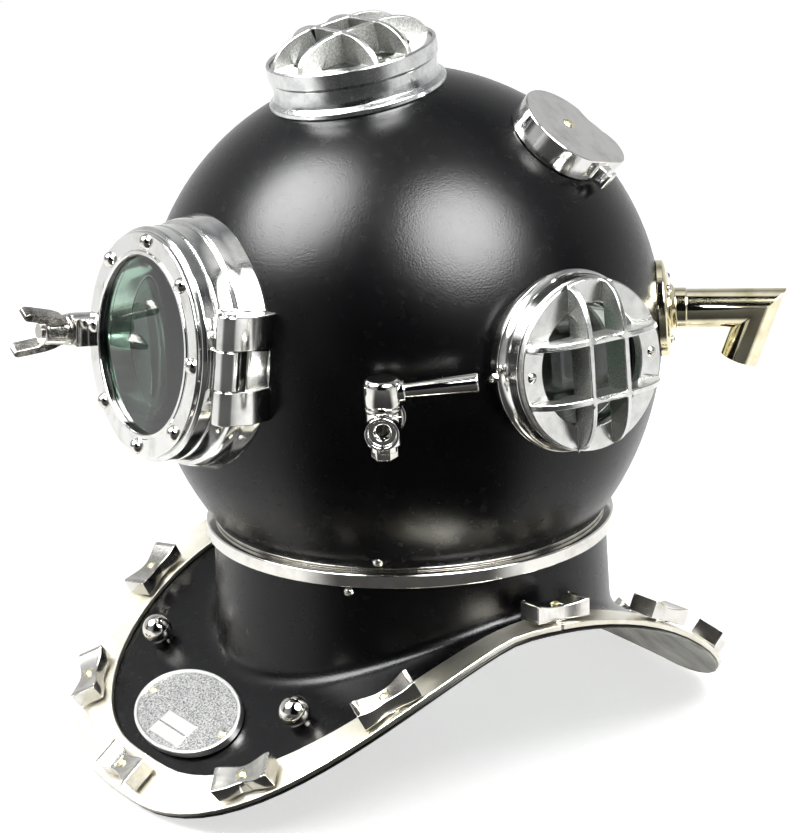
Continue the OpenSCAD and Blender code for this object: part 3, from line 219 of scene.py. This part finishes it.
def satin_black(name, middle):
    """Nearly black spray paint on the faces that look away from the middle, and dull tin on the others."""
    material = bpy.data.materials.new(name)
    material.use_nodes = True
    tree = material.node_tree
    shader = tree.nodes["Principled BSDF"]
    shader.inputs["IOR"].default_value = 1.5
    shader.inputs["Specular IOR Level"].default_value = 0.2
    coordinates = add(tree, "ShaderNodeTexCoord")
    place = coordinates.outputs["Object"]
    outward = add(tree, "ShaderNodeVectorMath", {0: place, 1: middle}, operation="SUBTRACT")
    away = add(tree, "ShaderNodeVectorMath", {0: outward.outputs["Vector"], 1: coordinates.outputs["Normal"]},
               operation="DOT_PRODUCT")
    inside = add(tree, "ShaderNodeMath", {0: away.outputs["Value"], 1: 0.0}, operation="LESS_THAN")
    tree.links.new(inside.outputs["Value"], shader.inputs["Metallic"])
    cloud = add(tree, "ShaderNodeTexNoise", {"Vector": place, "Scale": 1 / (35 * mm), "Detail": 5.0})
    paint = add(tree, "ShaderNodeValToRGB", {"Fac": cloud.outputs["Fac"]}, [
        (0.3, "#020203"), (0.7, "#060607")])
    tin = add(tree, "ShaderNodeValToRGB", {"Fac": cloud.outputs["Fac"]}, [
        (0.35, "#5d5a52"), (0.65, "#a3a29b")])
    tone = add(tree, "ShaderNodeMix", {
        0: inside.outputs["Value"], 6: paint.outputs["Color"], 7: tin.outputs["Color"]}, data_type="RGBA")
    tree.links.new(tone.outputs[2], shader.inputs["Base Color"])
    patch = add(tree, "ShaderNodeTexNoise", {"Vector": place, "Scale": 1 / (7 * mm), "Detail": 3.0})
    satin = add(tree, "ShaderNodeMapRange", {
        "Value": patch.outputs["Fac"], "From Min": 0.3, "From Max": 0.7, "To Min": 0.25, "To Max": 0.28})
    gloss = add(tree, "ShaderNodeMix", {0: inside.outputs["Value"], 2: satin.outputs["Result"], 3: 0.45})
    tree.links.new(gloss.outputs[0], shader.inputs["Roughness"])
    # Spray drops about a millimetre wide leave the peel
    drops = add(tree, "ShaderNodeTexNoise", {"Vector": place, "Scale": 1 / (1.0 * mm), "Detail": 0.0})
    peel = add(tree, "ShaderNodeBump", {"Height": drops.outputs["Fac"], "Distance": 0.06 * mm})
    tree.links.new(peel.outputs["Normal"], shader.inputs["Normal"])
    return material


# Its middle is taken a metre below the collar, so the upper faces are painted and the lower ones tinned
collar_paint = satin_black("satin_black_on_the_collar", Vector((0, 0, -1)))


def worked(node, name, material, edge=0.0, segments=2, angle=32):
    """A finished copy of a CAD node: triangles merged into faces, and sharp edges broken by a small round."""
    source = frame["nodes"][node]
    shape = bmesh.new()
    shape.from_mesh(source.data)
    bmesh.ops.remove_doubles(shape, verts=shape.verts, dist=0.002 * mm)
    bmesh.ops.dissolve_limit(shape, angle_limit=math.radians(0.4), verts=shape.verts, edges=shape.edges)
    bmesh.ops.connect_verts_concave(shape, faces=shape.faces)
    for face in shape.faces:
        face.smooth = True
    for line in shape.edges:
        line.smooth = line.is_manifold and line.calc_face_angle(0) < math.radians(angle)
    mesh = bpy.data.meshes.new(name)
    shape.to_mesh(mesh)
    shape.free()
    piece = bpy.data.objects.new(name, mesh)
    bpy.context.scene.collection.objects.link(piece)
    mesh.materials.clear()
    mesh.materials.append(material)
    if edge:
        rounding = piece.modifiers.new("edges", "BEVEL")
        rounding.width = edge
        rounding.segments = segments
        rounding.limit_method = "ANGLE"
        rounding.angle_limit = math.radians(angle)
        rounding.use_clamp_overlap = False
        rounding.harden_normals = True
        rounding.miter_outer = "MITER_ARC"
    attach(piece, source["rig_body"])
    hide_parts(node)
    return piece


def dress(node, material):
    """Gives its finish to a CAD node that keeps its own shape."""
    slots = frame["nodes"][node].data.materials
    slots.clear()
    slots.append(material)


plate = worked("breastplate", "breastplate_painted", collar_paint, edge=0.9 * mm, segments=3, angle=50)

# Neck ring. Cast brass, turned, nickel plated and buffed, soldered round the top of the neck. Its polished
# band shows; its sleeve and thread lugs are inside the neck. A gasket of oiled leather lies on its ledge.


def buffed_plate(name, light, dark, roughness, wave, depth, wear=0.0):
    """Buffed plating: dark stains, slow waves left by casting and polishing, and fine wiping marks."""
    material = bpy.data.materials.new(name)
    material.use_nodes = True
    tree = material.node_tree
    shader = tree.nodes["Principled BSDF"]
    shader.inputs["Metallic"].default_value = 1.0
    place = add(tree, "ShaderNodeTexCoord").outputs["Object"]
    cloud = add(tree, "ShaderNodeTexNoise", {
        "Vector": place, "Scale": 1 / (16 * mm), "Detail": 5.0, "Roughness": 0.6})
    tone = add(tree, "ShaderNodeValToRGB", {"Fac": cloud.outputs["Fac"]}, [(0.32, dark), (0.55, light)])
    tree.links.new(tone.outputs["Color"], shader.inputs["Base Color"])
    wiped = add(tree, "ShaderNodeMapping", {
        "Vector": place, "Scale": (1.0, 0.3, 2.6), "Rotation": (0.6, 0.3, 0.9)})
    marks = add(tree, "ShaderNodeTexNoise", {
        "Vector": wiped.outputs["Vector"], "Scale": 1 / (0.8 * mm), "Detail": 4.0, "Roughness": 0.7})
    gloss = add(tree, "ShaderNodeMapRange", {
        "Value": marks.outputs["Fac"], "From Min": 0.3, "From Max": 0.7,
        "To Min": roughness * 0.7, "To Max": roughness * 1.4 + wear})
    tree.links.new(gloss.outputs["Result"], shader.inputs["Roughness"])
    swell = add(tree, "ShaderNodeTexNoise", {"Vector": place, "Scale": 1 / wave, "Detail": 1.5})
    waves = add(tree, "ShaderNodeBump", {"Height": swell.outputs["Fac"], "Distance": depth})
    scratch_depth = (0.003 + wear * 0.05) * mm
    scratches = add(tree, "ShaderNodeBump", {
        "Height": marks.outputs["Fac"], "Distance": scratch_depth, "Normal": waves.outputs["Normal"]})
    tree.links.new(scratches.outputs["Normal"], shader.inputs["Normal"])
    return material


ring_plate = buffed_plate("buffed_nickel_plate", "#dddbd5", "#cbc8c1", 0.10, 30 * mm, 0.10 * mm)
ring = worked("neck_ring", "neck_ring_buffed", ring_plate, edge=0.35 * mm)

hide = bpy.data.materials.new("oiled_leather")
hide.use_nodes = True
tree = hide.node_tree
shader = tree.nodes["Principled BSDF"]
shader.inputs["Roughness"].default_value = 0.6
place = add(tree, "ShaderNodeTexCoord").outputs["Object"]
pores = add(tree, "ShaderNodeTexVoronoi", {"Vector": place, "Scale": 1 / (1.4 * mm)})
tone = add(tree, "ShaderNodeValToRGB", {"Fac": pores.outputs["Distance"]}, [
    (0.1, "#2c1a0e"), (0.6, "#5a3a22")])
tree.links.new(tone.outputs["Color"], shader.inputs["Base Color"])
skin = add(tree, "ShaderNodeBump", {"Height": pores.outputs["Distance"], "Distance": 0.15 * mm})
tree.links.new(skin.outputs["Normal"], shader.inputs["Normal"])
dress("neck_gasket", hide)

# Brails. Four flat cast straps that clamp the suit's rubber collar to the breastplate's rim. Their plate has
# a warmer, creamier cast than the fittings, and is brushed along the strap, so it shines in one direction.
brail_metal = bpy.data.materials.new("brushed_warm_nickel")
brail_metal.use_nodes = True
tree = brail_metal.node_tree
shader = tree.nodes["Principled BSDF"]
shader.inputs["Metallic"].default_value = 1.0
place = add(tree, "ShaderNodeTexCoord").outputs["Object"]
cloud = add(tree, "ShaderNodeTexNoise", {
    "Vector": place, "Scale": 1 / (24 * mm), "Detail": 5.0, "Roughness": 0.6})
tone = add(tree, "ShaderNodeValToRGB", {"Fac": cloud.outputs["Fac"]}, [(0.35, "#dcd7c6"), (0.62, "#ece9dc")])
tree.links.new(tone.outputs["Color"], shader.inputs["Base Color"])
# The brush lines run round the neck, so the noise is drawn out over the angle about its axis
split = add(tree, "ShaderNodeSeparateXYZ", {"Vector": place})
angle = add(tree, "ShaderNodeMath", {0: split.outputs["X"], 1: split.outputs["Y"]}, operation="ARCTAN2")
level = add(tree, "ShaderNodeCombineXYZ", {"X": split.outputs["X"], "Y": split.outputs["Y"]})
reach = add(tree, "ShaderNodeVectorMath", {0: level.outputs["Vector"]}, operation="LENGTH")
lines = add(tree, "ShaderNodeCombineXYZ", {"X": angle.outputs["Value"], "Y": reach.outputs["Value"]})
lines = add(tree, "ShaderNodeMapping", {"Vector": lines.outputs["Vector"], "Scale": (6.0, 1400.0, 1.0)})
brushed = add(tree, "ShaderNodeTexNoise", {"Vector": lines.outputs["Vector"], "Scale": 1.0, "Detail": 3.0})
gloss = add(tree, "ShaderNodeMapRange", {
    "Value": brushed.outputs["Fac"], "From Min": 0.3, "From Max": 0.7, "To Min": 0.28, "To Max": 0.38})
tree.links.new(gloss.outputs["Result"], shader.inputs["Roughness"])
swell = add(tree, "ShaderNodeTexNoise", {"Vector": place, "Scale": 1 / (22 * mm), "Detail": 1.5})
waves = add(tree, "ShaderNodeBump", {"Height": swell.outputs["Fac"], "Distance": 0.16 * mm})
grooves = add(tree, "ShaderNodeBump", {
    "Height": brushed.outputs["Fac"], "Distance": 0.004 * mm, "Normal": waves.outputs["Normal"]})
tree.links.new(grooves.outputs["Normal"], shader.inputs["Normal"])
for side in ("front_left", "front_right", "back_left", "back_right"):
    strap = worked("brail_" + side, "brail_" + side + "_brushed", brail_metal,
                   edge=0.7 * mm, segments=3, angle=40)

# Studs, nuts and screws of the brails. Twelve cast nuts, hollow on top and waisted in the middle, plated and
# buffed by hand, each on a stud, with a slotted brass screw at its centre.
nut_metal = buffed_plate("buffed_nickel_castings", "#e2e0da", "#c9c6bf", 0.15, 10 * mm, 0.14 * mm)
nuts = worked("brail_nuts", "brail_nuts_buffed", nut_metal, edge=0.5 * mm, segments=3, angle=35)
dress("brail_studs", nut_metal)


def bare_brass(name, light, dark, roughness):
    """Bare turned brass, tarnished a little in small random patches."""
    material = bpy.data.materials.new(name)
    material.use_nodes = True
    tree = material.node_tree
    shader = tree.nodes["Principled BSDF"]
    shader.inputs["Metallic"].default_value = 1.0
    place = add(tree, "ShaderNodeTexCoord").outputs["Object"]
    cloud = add(tree, "ShaderNodeTexNoise", {"Vector": place, "Scale": 1 / (2.0 * mm), "Detail": 4.0})
    tone = add(tree, "ShaderNodeValToRGB", {"Fac": cloud.outputs["Fac"]}, [(0.35, dark), (0.65, light)])
    tree.links.new(tone.outputs["Color"], shader.inputs["Base Color"])
    gloss = add(tree, "ShaderNodeMapRange", {
        "Value": cloud.outputs["Fac"], "From Min": 0.3, "From Max": 0.7,
        "To Min": roughness * 1.3, "To Max": roughness * 0.8})
    tree.links.new(gloss.outputs["Result"], shader.inputs["Roughness"])
    fine = add(tree, "ShaderNodeTexNoise", {"Vector": place, "Scale": 1 / (0.5 * mm), "Detail": 3.0})
    skin = add(tree, "ShaderNodeBump", {"Height": fine.outputs["Fac"], "Distance": 0.006 * mm})
    tree.links.new(skin.outputs["Normal"], shader.inputs["Normal"])
    return material


screw_brass = bare_brass("turned_brass", "#ece5bd", "#c4b988", 0.30)
heads = worked("brail_nut_screws", "brail_nut_screw_heads", screw_brass)

# Ball studs. Two round knobs on the front lobe, turned, plated and buffed until each mirrors the whole
# room in small.
stud_metal = buffed_plate("buffed_nickel_ball", "#dcdad4", "#c0bdb6", 0.06, 9 * mm, 0.10 * mm)
balls = worked("ball_studs", "ball_studs_buffed", stud_metal)

# Oval plate. Cast aluminium with a buffed rim, a stippled grey ground and two bare raised fields. Two brass
# screws hold it to the front lobe.
plate_metal = bpy.data.materials.new("stippled_cast_aluminium")
plate_metal.use_nodes = True
tree = plate_metal.node_tree
shader = tree.nodes["Principled BSDF"]
shader.inputs["Metallic"].default_value = 1.0
place = add(tree, "ShaderNodeTexCoord").outputs["Object"]
raised = add(tree, "ShaderNodeAttribute", attribute_name="raised").outputs["Fac"]
sand = add(tree, "ShaderNodeTexNoise", {"Vector": place, "Scale": 1 / (1.1 * mm), "Detail": 3.0})
ground = add(tree, "ShaderNodeValToRGB", {"Fac": sand.outputs["Fac"]}, [
    (0.36, "#4c4d4d"), (0.62, "#a3a3a2")])
tone = add(tree, "ShaderNodeMix", {
    0: raised, 6: ground.outputs["Color"], 7: linear("#e6e6e4")}, data_type="RGBA")
tree.links.new(tone.outputs[2], shader.inputs["Base Color"])
grit = add(tree, "ShaderNodeMapRange", {
    "Value": sand.outputs["Fac"], "From Min": 0.3, "From Max": 0.7, "To Min": 0.30, "To Max": 0.44})
gloss = add(tree, "ShaderNodeMix", {0: raised, 2: grit.outputs["Result"], 3: 0.3})
tree.links.new(gloss.outputs[0], shader.inputs["Roughness"])
deep = add(tree, "ShaderNodeMapRange", {"Value": raised, "To Min": 0.22 * mm, "To Max": 0.02 * mm})
stipple = add(tree, "ShaderNodeBump", {"Height": sand.outputs["Fac"], "Distance": deep.outputs["Result"]})
tree.links.new(stipple.outputs["Normal"], shader.inputs["Normal"])

oval = worked("oval_plate", "oval_plate_cast", plate_metal, edge=0.4 * mm, angle=40)
shape = bmesh.new()
shape.from_mesh(oval.data)
ground_face = max((f for f in shape.faces if f.normal.z > 0.3), key=lambda f: f.calc_area())
up_way = ground_face.normal.copy()
across = Vector((1, 0, 0))
lie = Matrix((across, up_way.cross(across), up_way)).transposed()
middle = ground_face.calc_center_bounds()
# The fields lie one under the other on the lower half of the ground
field_size = Vector((34, 8.5, 1.0))
for offset in (-9.5, -19):
    made = bmesh.ops.create_cube(shape, size=1.0)["verts"]
    bmesh.ops.scale(shape, vec=field_size * mm, verts=made)
    bmesh.ops.rotate(shape, matrix=lie, verts=made)
    bmesh.ops.translate(shape, vec=middle + lie @ Vector((3, offset, 0.25)) * mm, verts=made)
mark = shape.faces.layers.float.new("raised")
for face in shape.faces:
    above = (face.calc_center_bounds() - middle).dot(up_way)
    face[mark] = 1.0 if above > 0.3 * mm or face.normal.dot(up_way) < 0.5 else 0.0
shape.to_mesh(oval.data)
shape.free()
dress("oval_plate_screws", screw_brass)

# Safety lock. A cast bracket on the back of the neck ring carries a lever that folds into the bonnet's stop.
# It is plated and buffed as the nuts are, and so are the two small screws beside the neck ring.
for node in ("lock_bracket", "lock_lever"):
    part = worked(node, node + "_buffed", nut_metal, edge=0.3 * mm)
for node in ("neck_screw", "bonnet_screw"):
    dress(node, nut_metal)

# Bonnet. A dome spun and beaten from sheet copper, sprayed satin black like the breastplate and tinned
# inside, on a plated ring that carries the thread lugs.
dome_paint = satin_black("satin_black_on_the_dome", Vector((0, 0, 119)) * mm)
dome = worked("bonnet_shell", "dome_painted", dome_paint, edge=0.4 * mm, angle=40)
bonnet_ring = worked("bonnet_ring", "bonnet_ring_buffed", ring_plate, edge=0.3 * mm)

# Front window. The seat is one casting with the hinge lugs and the latch lug; the door is a second, with the
# bezel screwed on by eight domed screws. All are turned, plated and buffed to a mirror.
window_metal = buffed_plate("mirror_nickel_castings", "#e2e2df", "#cbcac6", 0.11, 24 * mm, 0.14 * mm)
seat = worked("front_seat", "front_seat_buffed", window_metal, edge=0.8 * mm, segments=3)
door = worked("door_frame", "door_frame_buffed", window_metal, edge=0.6 * mm, segments=3)
bezel = worked("front_bezel", "front_bezel_buffed", window_metal, edge=0.35 * mm, segments=3)
for node in ("hinge_pin", "bezel_screws"):
    dress(node, stud_metal)

# Gaskets of the front window. Rings cut from black sheet rubber, which is dull, with a grey bloom in places;
# one lies under the door and one under its glass.
rubber = bpy.data.materials.new("black_sheet_rubber")
rubber.use_nodes = True
tree = rubber.node_tree
shader = tree.nodes["Principled BSDF"]
place = add(tree, "ShaderNodeTexCoord").outputs["Object"]
bloom = add(tree, "ShaderNodeTexNoise", {"Vector": place, "Scale": 1 / (3 * mm), "Detail": 3.0})
tone = add(tree, "ShaderNodeValToRGB", {"Fac": bloom.outputs["Fac"]}, [(0.35, "#121212"), (0.65, "#1d1d1d")])
tree.links.new(tone.outputs["Color"], shader.inputs["Base Color"])
dull = add(tree, "ShaderNodeMapRange", {"Value": bloom.outputs["Fac"], "To Min": 0.5, "To Max": 0.7})
tree.links.new(dull.outputs["Result"], shader.inputs["Roughness"])
skin = add(tree, "ShaderNodeBump", {"Height": bloom.outputs["Fac"], "Distance": 0.05 * mm})
tree.links.new(skin.outputs["Normal"], shader.inputs["Normal"])
for node in ("door_gasket", "front_glass_gasket"):
    dress(node, rubber)

# Glass. Polished plate, nearly clear at the sides and the top, and green from its iron at the front, where it
# is ground hollow behind like a lens.


def plate_glass(name, tint):
    """Clear polished glass with a faint smear left by wiping."""
    material = bpy.data.materials.new(name)
    material.use_nodes = True
    tree = material.node_tree
    shader = tree.nodes["Principled BSDF"]
    shader.inputs["Base Color"].default_value = linear(tint)
    shader.inputs["IOR"].default_value = 1.52
    shader.inputs["Transmission Weight"].default_value = 1.0
    place = add(tree, "ShaderNodeTexCoord").outputs["Object"]
    smear = add(tree, "ShaderNodeTexNoise", {"Vector": place, "Scale": 1 / (12 * mm), "Detail": 4.0})
    haze = add(tree, "ShaderNodeMapRange", {
        "Value": smear.outputs["Fac"], "From Min": 0.45, "From Max": 0.8, "To Min": 0.0, "To Max": 0.015})
    tree.links.new(haze.outputs["Result"], shader.inputs["Roughness"])
    return material


side_glass = plate_glass("clear_plate_glass", "#dde6e2")
for node in ("left_port_glass", "right_port_glass", "top_port_glass"):
    dress(node, side_glass)

# The front window's lens is turned about the window's axis: radius and place along the axis, in mm
ball_radius = 207.2
hollow_radius = 53.1
hollow_floor = 172.65
hollow_steps = 24
lens_outline = [(0, 184.4), (57.7, 184.4), (58.2, 183.9), (58.2, 179.6), (hollow_radius, 179.6)]
for step in range(hollow_steps, -1, -1):
    radius = hollow_radius * step / hollow_steps
    lens_outline.append((radius, hollow_floor + ball_radius - math.sqrt(ball_radius ** 2 - radius ** 2)))
shape = bmesh.new()
corners = [shape.verts.new((r * mm, 0, z * mm)) for r, z in lens_outline]
lines = [shape.edges.new(pair) for pair in zip(corners, corners[1:])]
bmesh.ops.spin(shape, geom=corners + lines, cent=(0, 0, 0), axis=(0, 0, 1), angle=2 * math.pi, steps=144,
               use_merge=True)
bmesh.ops.remove_doubles(shape, verts=shape.verts, dist=0.001 * mm)
bmesh.ops.recalc_face_normals(shape, faces=shape.faces)
pitch = math.radians(6.8)
window_height = 117.5 * mm
window_frame = Matrix((
    (1, 0, 0, 0),
    (0, math.sin(pitch), -math.cos(pitch), 0),
    (0, math.cos(pitch), math.sin(pitch), window_height),
    (0, 0, 0, 1)))
bmesh.ops.transform(shape, matrix=window_frame, verts=shape.verts)
for face in shape.faces:
    face.smooth = True
for line in shape.edges:
    line.smooth = line.calc_face_angle(0) < math.radians(10)
mesh = bpy.data.meshes.new("front_window_lens")
shape.to_mesh(mesh)
shape.free()
lens = bpy.data.objects.new("front_window_lens", mesh)
bpy.context.scene.collection.objects.link(lens)
mesh.materials.append(plate_glass("green_lens_glass", "#c6ecd8"))
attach(lens, frame["nodes"]["front_glass"]["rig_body"])
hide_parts("front_glass")

# Latch. A screw that holds the door shut, and the wing nut that turns it. Hands have worn their plate dull
# and grey.
worn_metal = buffed_plate("worn_nickel_castings", "#b9b7b1", "#5b5954", 0.20, 8 * mm, 0.20 * mm, 0.04)
latch = worked("latch_screw", "latch_screw_buffed", worn_metal, edge=0.3 * mm)
wings = worked("latch_wing_nut", "wing_nut_buffed", worn_metal, edge=0.5 * mm, segments=3, angle=35)

# Side and top windows. Each has a turned seat, a guard cast in sand with four bars over the glass, ground
# bright on its front and left rough in its hollows, and gaskets and screws.


def cast_guard(name, forward):
    """Cast aluminium, bright where its face looks forward and was ground, grey and grained elsewhere."""
    material = bpy.data.materials.new(name)
    material.use_nodes = True
    tree = material.node_tree
    shader = tree.nodes["Principled BSDF"]
    shader.inputs["Metallic"].default_value = 1.0
    coordinates = add(tree, "ShaderNodeTexCoord")
    place = coordinates.outputs["Object"]
    facing = add(tree, "ShaderNodeVectorMath", {
        0: coordinates.outputs["Normal"], 1: forward}, operation="DOT_PRODUCT")
    sand = add(tree, "ShaderNodeTexNoise", {"Vector": place, "Scale": 1 / (0.9 * mm), "Detail": 3.0})
    bright = add(tree, "ShaderNodeMapRange", {
        "Value": facing.outputs["Value"], "From Min": 0.35, "From Max": 0.75},
        interpolation_type="SMOOTHSTEP")
    rough_tone = add(tree, "ShaderNodeValToRGB", {"Fac": sand.outputs["Fac"]}, [
        (0.35, "#8d8e8c"), (0.65, "#c6c6c2")])
    cloud = add(tree, "ShaderNodeTexNoise", {"Vector": place, "Scale": 1 / (9 * mm), "Detail": 4.0})
    ground_tone = add(tree, "ShaderNodeValToRGB", {"Fac": cloud.outputs["Fac"]}, [
        (0.35, "#cfcfcc"), (0.65, "#e2e2df")])
    tone = add(tree, "ShaderNodeMix", {
        0: bright.outputs["Result"], 6: rough_tone.outputs["Color"], 7: ground_tone.outputs["Color"]},
        data_type="RGBA")
    tree.links.new(tone.outputs[2], shader.inputs["Base Color"])
    gloss = add(tree, "ShaderNodeMapRange", {
        "Value": bright.outputs["Result"], "To Min": 0.40, "To Max": 0.24})
    tree.links.new(gloss.outputs["Result"], shader.inputs["Roughness"])
    depth = add(tree, "ShaderNodeMapRange", {
        "Value": bright.outputs["Result"], "To Min": 0.22 * mm, "To Max": 0.03 * mm})
    skin = add(tree, "ShaderNodeBump", {"Height": sand.outputs["Fac"], "Distance": depth.outputs["Result"]})
    tree.links.new(skin.outputs["Normal"], shader.inputs["Normal"])
    return material


top_metal = buffed_plate("buffed_aluminium_castings", "#d9dad9", "#aeb0b0", 0.17, 12 * mm, 0.25 * mm, 0.05)
for port, azimuth, elevation in (("left", 1.3, 5), ("right", 178.7, 5), ("top", -90, 79.7)):
    metal, finish = (top_metal, "aluminium") if port == "top" else (window_metal, "polished_nickel")
    rim = worked(port + "_port_seat", port + "_port_seat_buffed", metal, edge=0.4 * mm)
    bars = cast_guard(port + "_cast_aluminium_guard", towards(azimuth, elevation))
    guard = worked(port + "_port_guard", port + "_port_guard_cast", bars, edge=0.9 * mm, segments=3, angle=35)
    dress(port + "_port_gaskets", rubber)
dress("port_screws", stud_metal)

# Telephone cup. A pear-shaped casting, plated and buffed to a mirror, held by one brass screw. It covers the
# black receiver that the diver listens to.
cup = worked("telephone_cup", "telephone_cup_buffed", window_metal, edge=1.2 * mm, segments=3, angle=35)
dress("telephone_screw", screw_brass)
dress("telephone_receiver", rubber)

# Goosenecks. Two cast elbows with a thin, pale gold plate over brass, held by four screws each. The air elbow
# has a brass non-return valve inside: a seat, a disc and a spring.
gold_plate = buffed_plate("pale_gold_plate", "#ece5c8", "#d2c9a4", 0.09, 20 * mm, 0.10 * mm)
for side in ("air", "telephone"):
    neck = worked(side + "_gooseneck", side + "_gooseneck_buffed", gold_plate, edge=0.5 * mm, segments=3)
dress("gooseneck_screws", stud_metal)
for node in ("inlet_valve_seat", "inlet_valve_disc", "inlet_valve_spring"):
    dress(node, screw_brass)

# Spitcock. A small cast tap on the helmet's left front, plated and buffed, with a turned plug in it. The
# plug's lever opens and shuts the tap.
cock = worked("spitcock_body", "spitcock_body_buffed", window_metal, edge=0.4 * mm)
plug = worked("spitcock_plug", "spitcock_plug_buffed", stud_metal, edge=0.5 * mm, segments=3)

# Exhaust valve. A cast body with slots for the air, plated and buffed, under a hand wheel. Its spring and the
# stem with the chin button are bare brass.
valve = worked("exhaust_body", "exhaust_body_buffed", window_metal, edge=0.5 * mm)
wheel = worked("exhaust_wheel", "exhaust_wheel_buffed", nut_metal, edge=0.8 * mm, segments=3)
dress("exhaust_screws", stud_metal)
for node in ("exhaust_spring", "exhaust_chin_button"):
    dress(node, screw_brass)
